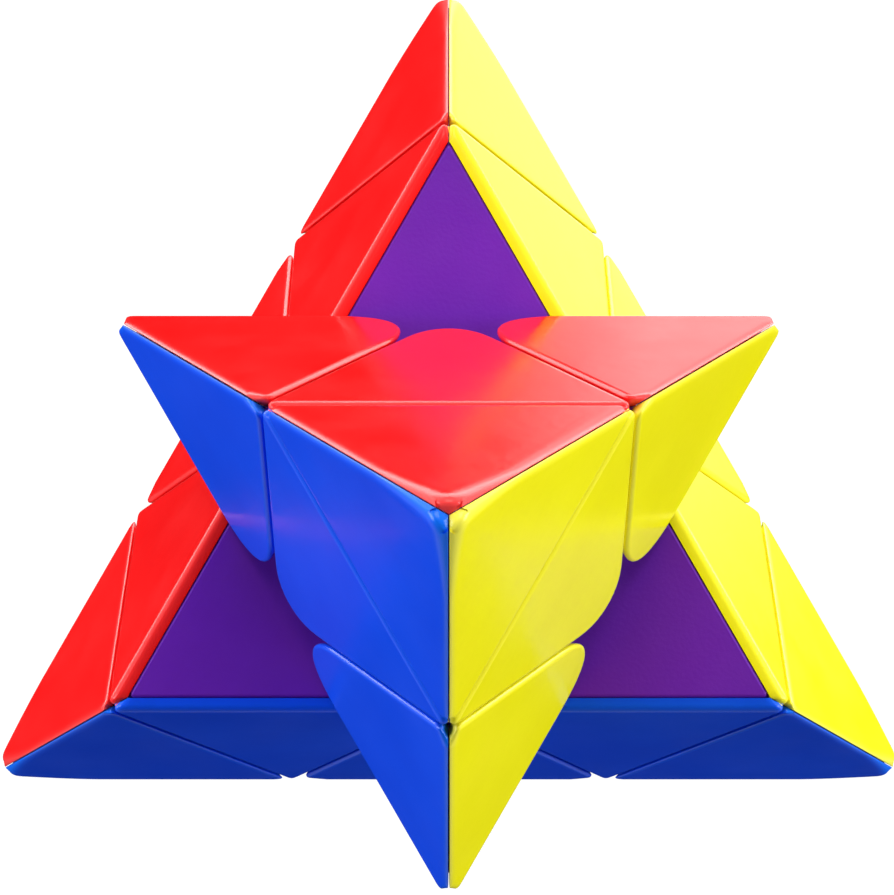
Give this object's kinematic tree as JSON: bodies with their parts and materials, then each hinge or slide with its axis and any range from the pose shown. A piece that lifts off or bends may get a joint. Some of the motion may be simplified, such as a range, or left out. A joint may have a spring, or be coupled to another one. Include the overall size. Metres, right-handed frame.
{
  "type": "pyramid twisty puzzle",
  "caption": "Pyramid twisty puzzle in coloured gloss plastic with turning tips, stopped half way through a turn of its top layer.",
  "frame": {"origin": "middle of the core, where the four turning axes cross", "axes": "+Z through the top tip along the turned layer's axis; +Y from the core towards the rear corner of the base, seen from above; the green face looks along -Z"},
  "size_m": [0.0972, 0.0937, 0.0804],
  "materials": {
    "red_plastic": "smooth gloss",
    "yellow_plastic": "smooth gloss",
    "blue_plastic": "smooth gloss",
    "green_plastic": "smooth gloss",
    "body_plastic": "satin purple",
    "core_plastic": "matt, greased",
    "screw_steel": "zinc plated",
    "spring_steel": "bright drawn wire"
  },
  "bodies": {
    "base": {"centre_left_body": "body_plastic", "centre_left_cap_blue": "blue_plastic", "centre_left_cap_green": "green_plastic", "centre_left_cap_red": "red_plastic", "centre_rear_body": "body_plastic", "centre_rear_cap_green": "green_plastic", "centre_rear_cap_red": "red_plastic", "centre_rear_cap_yellow": "yellow_plastic", "centre_right_body": "body_plastic", "centre_right_cap_blue": "blue_plastic", "centre_right_cap_green": "green_plastic", "centre_right_cap_yellow": "yellow_plastic", "core": "core_plastic", "edge_left_right_body": "body_plastic", "edge_left_right_cap_blue": "blue_plastic", "edge_left_right_cap_green": "green_plastic", "edge_rear_left_body": "body_plastic", "edge_rear_left_cap_green": "green_plastic", "edge_rear_left_cap_red": "red_plastic", "edge_right_rear_body": "body_plastic", "edge_right_rear_cap_green": "green_plastic", "edge_right_rear_cap_yellow": "yellow_plastic", "screw_left": "screw_steel", "screw_rear": "screw_steel", "screw_right": "screw_steel", "screw_top": "screw_steel", "spring_left": "spring_steel", "spring_rear": "spring_steel", "spring_right": "spring_steel", "spring_top": "spring_steel"},
    "top_layer": {"centre_top_body": "body_plastic", "centre_top_cap_blue": "blue_plastic", "centre_top_cap_red": "red_plastic", "centre_top_cap_yellow": "yellow_plastic", "edge_top_left_body": "body_plastic", "edge_top_left_cap_blue": "blue_plastic", "edge_top_left_cap_red": "red_plastic", "edge_top_rear_body": "body_plastic", "edge_top_rear_cap_red": "red_plastic", "edge_top_rear_cap_yellow": "yellow_plastic", "edge_top_right_body": "body_plastic", "edge_top_right_cap_blue": "blue_plastic", "edge_top_right_cap_yellow": "yellow_plastic"},
    "tip_top": {"tip_top_body": "body_plastic", "tip_top_cap_blue": "blue_plastic", "tip_top_cap_red": "red_plastic", "tip_top_cap_yellow": "yellow_plastic"},
    "tip_rear": {"tip_rear_body": "body_plastic", "tip_rear_cap_green": "green_plastic", "tip_rear_cap_red": "red_plastic", "tip_rear_cap_yellow": "yellow_plastic"},
    "tip_left": {"tip_left_body": "body_plastic", "tip_left_cap_blue": "blue_plastic", "tip_left_cap_green": "green_plastic", "tip_left_cap_red": "red_plastic"},
    "tip_right": {"tip_right_body": "body_plastic", "tip_right_cap_blue": "blue_plastic", "tip_right_cap_green": "green_plastic", "tip_right_cap_yellow": "yellow_plastic"}
  },
  "joints": [
    {"name": "top_layer_turn", "type": "hinge", "parent": "base", "child": "top_layer", "pos_m": [0, 0, 0], "axis": [0, 0, 1], "continuous": true},
    {"name": "tip_top_turn", "type": "hinge", "parent": "top_layer", "child": "tip_top", "pos_m": [0, 0, 0.03504], "axis": [0, 0, 1], "continuous": true},
    {"name": "tip_rear_turn", "type": "hinge", "parent": "base", "child": "tip_rear", "pos_m": [0, 0.03304, -0.01168], "axis": [0, 0.9428, -0.3333], "continuous": true},
    {"name": "tip_left_turn", "type": "hinge", "parent": "base", "child": "tip_left", "pos_m": [-0.02861, -0.01652, -0.01168], "axis": [-0.8165, -0.4714, -0.3333], "continuous": true},
    {"name": "tip_right_turn", "type": "hinge", "parent": "base", "child": "tip_right", "pos_m": [0.02861, -0.01652, -0.01168], "axis": [0.8165, -0.4714, -0.3333], "continuous": true}
  ]
}
